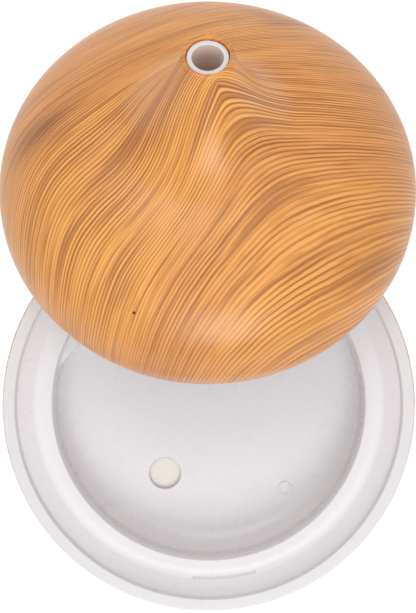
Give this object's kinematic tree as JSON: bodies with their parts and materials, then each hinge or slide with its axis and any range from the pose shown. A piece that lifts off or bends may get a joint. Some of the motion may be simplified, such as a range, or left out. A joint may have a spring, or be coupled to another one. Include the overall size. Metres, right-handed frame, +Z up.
{
  "type": "essential oil diffuser",
  "caption": "Round ultrasonic essential oil diffuser with a wood-grain casing, shown open: its domed cover with a tall mist spout leans against the white water tank.",
  "frame": {"origin": "centre of the bottom cover's flat underside, on the axis of the base", "axes": "+Z up out of the water tank, +Y to the back, where the cover leans and the power jack is, +X to the right seen from the buttons"},
  "size_m": [0.169, 0.2535, 0.1285],
  "materials": {
    "wood_grain": "satin, printed with a wood grain",
    "white_plastic": "satin",
    "silicone": "soft silicone",
    "ceramic": "glazed ceramic face",
    "steel": "plain",
    "aluminium": "plain",
    "black_plastic": "fine texture",
    "rubber": "matte",
    "board_green": "solder mask",
    "can_blue": "sleeved can",
    "lamp": "clear resin",
    "wire": "soft"
  },
  "bodies": {
    "base": {"base_shell": "wood_grain", "board_screw_1": "steel", "board_screw_2": "steel", "board_socket_1": "white_plastic", "board_socket_2": "white_plastic", "board_socket_3": "white_plastic", "board_socket_4": "white_plastic", "bottom_cover": "white_plastic", "capacitor_1": "can_blue", "capacitor_2": "can_blue", "casing_screw_1": "steel", "casing_screw_2": "steel", "casing_screw_3": "steel", "casing_screw_4": "steel", "clamp_screw_1": "steel", "clamp_screw_2": "steel", "clamp_screw_3": "steel", "control_board": "board_green", "control_chip": "black_plastic", "disc_clamp": "steel", "disc_lead": "wire", "disc_seal": "silicone", "fan_frame": "black_plastic", "fan_lead": "wire", "fan_screw_1": "steel", "fan_screw_2": "steel", "heatsink": "aluminium", "inductor": "black_plastic", "jack_lead": "wire", "jack_nut": "steel", "jack_pin": "steel", "led_lamp_1": "lamp", "led_lamp_2": "lamp", "led_lamp_3": "lamp", "led_lamp_4": "lamp", "light_switch": "black_plastic", "mist_switch": "black_plastic", "power_jack": "black_plastic", "rubber_foot_1": "rubber", "rubber_foot_2": "rubber", "rubber_foot_3": "rubber", "rubber_foot_4": "rubber", "switch_board": "board_green", "switch_lead": "wire", "switch_screw_1": "steel", "switch_screw_2": "steel", "ultrasonic_disc": "ceramic", "water_tank": "white_plastic"},
    "fan_rotor": {"fan_rotor": "black_plastic"},
    "mist_button": {"mist_button": "white_plastic"},
    "light_button": {"light_button": "white_plastic"},
    "cover": {"cover_shell": "wood_grain", "cover_ring": "white_plastic", "mist_nozzle": "white_plastic", "splash_guard": "white_plastic"}
  },
  "joints": [
    {"name": "cover_lift", "type": "slide", "parent": "base", "child": "cover", "axis": [0, 0, 1], "range_m": [0, 0.12]},
    {"name": "fan_spin", "type": "hinge", "parent": "base", "child": "fan_rotor", "pos_m": [-0.02566, 0.02231, 0.009], "axis": [0, 0, 1], "continuous": true},
    {"name": "mist_press", "type": "slide", "parent": "base", "child": "mist_button", "axis": [0, 1, 0], "range_m": [0, 0.0006], "stiffness_N_per_m": 3000},
    {"name": "light_press", "type": "slide", "parent": "base", "child": "light_button", "axis": [0, 1, 0], "range_m": [0, 0.0006], "stiffness_N_per_m": 3000}
  ]
}
